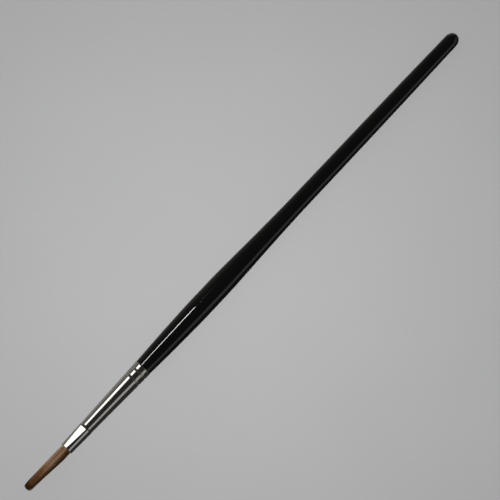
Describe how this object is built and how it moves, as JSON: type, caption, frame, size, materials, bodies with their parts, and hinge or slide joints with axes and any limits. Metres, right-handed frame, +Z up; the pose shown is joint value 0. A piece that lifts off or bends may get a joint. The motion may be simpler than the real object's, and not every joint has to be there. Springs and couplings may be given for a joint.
{
  "type": "fine detail brush",
  "caption": "Small flat hair tuft in a pressed and crimped nickel-plated ferrule on a long turned handle with gloss black lacquer.",
  "frame": {"origin": "on the surface the brush lies on, below the middle of its length and of its width", "axes": "+X along the brush from the hair to the tail of the handle, +Z up, square to the pressed faces of the ferrule"},
  "size_m": [0.195, 0.0072, 0.0072],
  "materials": {
    "lacquered_wood": "gloss",
    "nickel_plate": "polished",
    "hair": "satin",
    "thread": "matte",
    "epoxy": "gloss",
    "glue": "satin"
  },
  "bodies": {
    "brush": {"handle": "lacquered_wood", "ferrule": "nickel_plate", "hair_root": "hair", "binding_thread": "thread", "hair_cement": "epoxy", "handle_glue": "glue"},
    "tuft": {"hair_head": "hair"}
  },
  "joints": [
    {"name": "tuft_flex", "type": "hinge", "parent": "brush", "child": "tuft", "pos_m": [-0.08254, 0, 0.00359], "axis": [0, 1, 0], "range_deg": [-40, 40], "stiffness_Nm_per_rad": 0.0008}
  ]
}
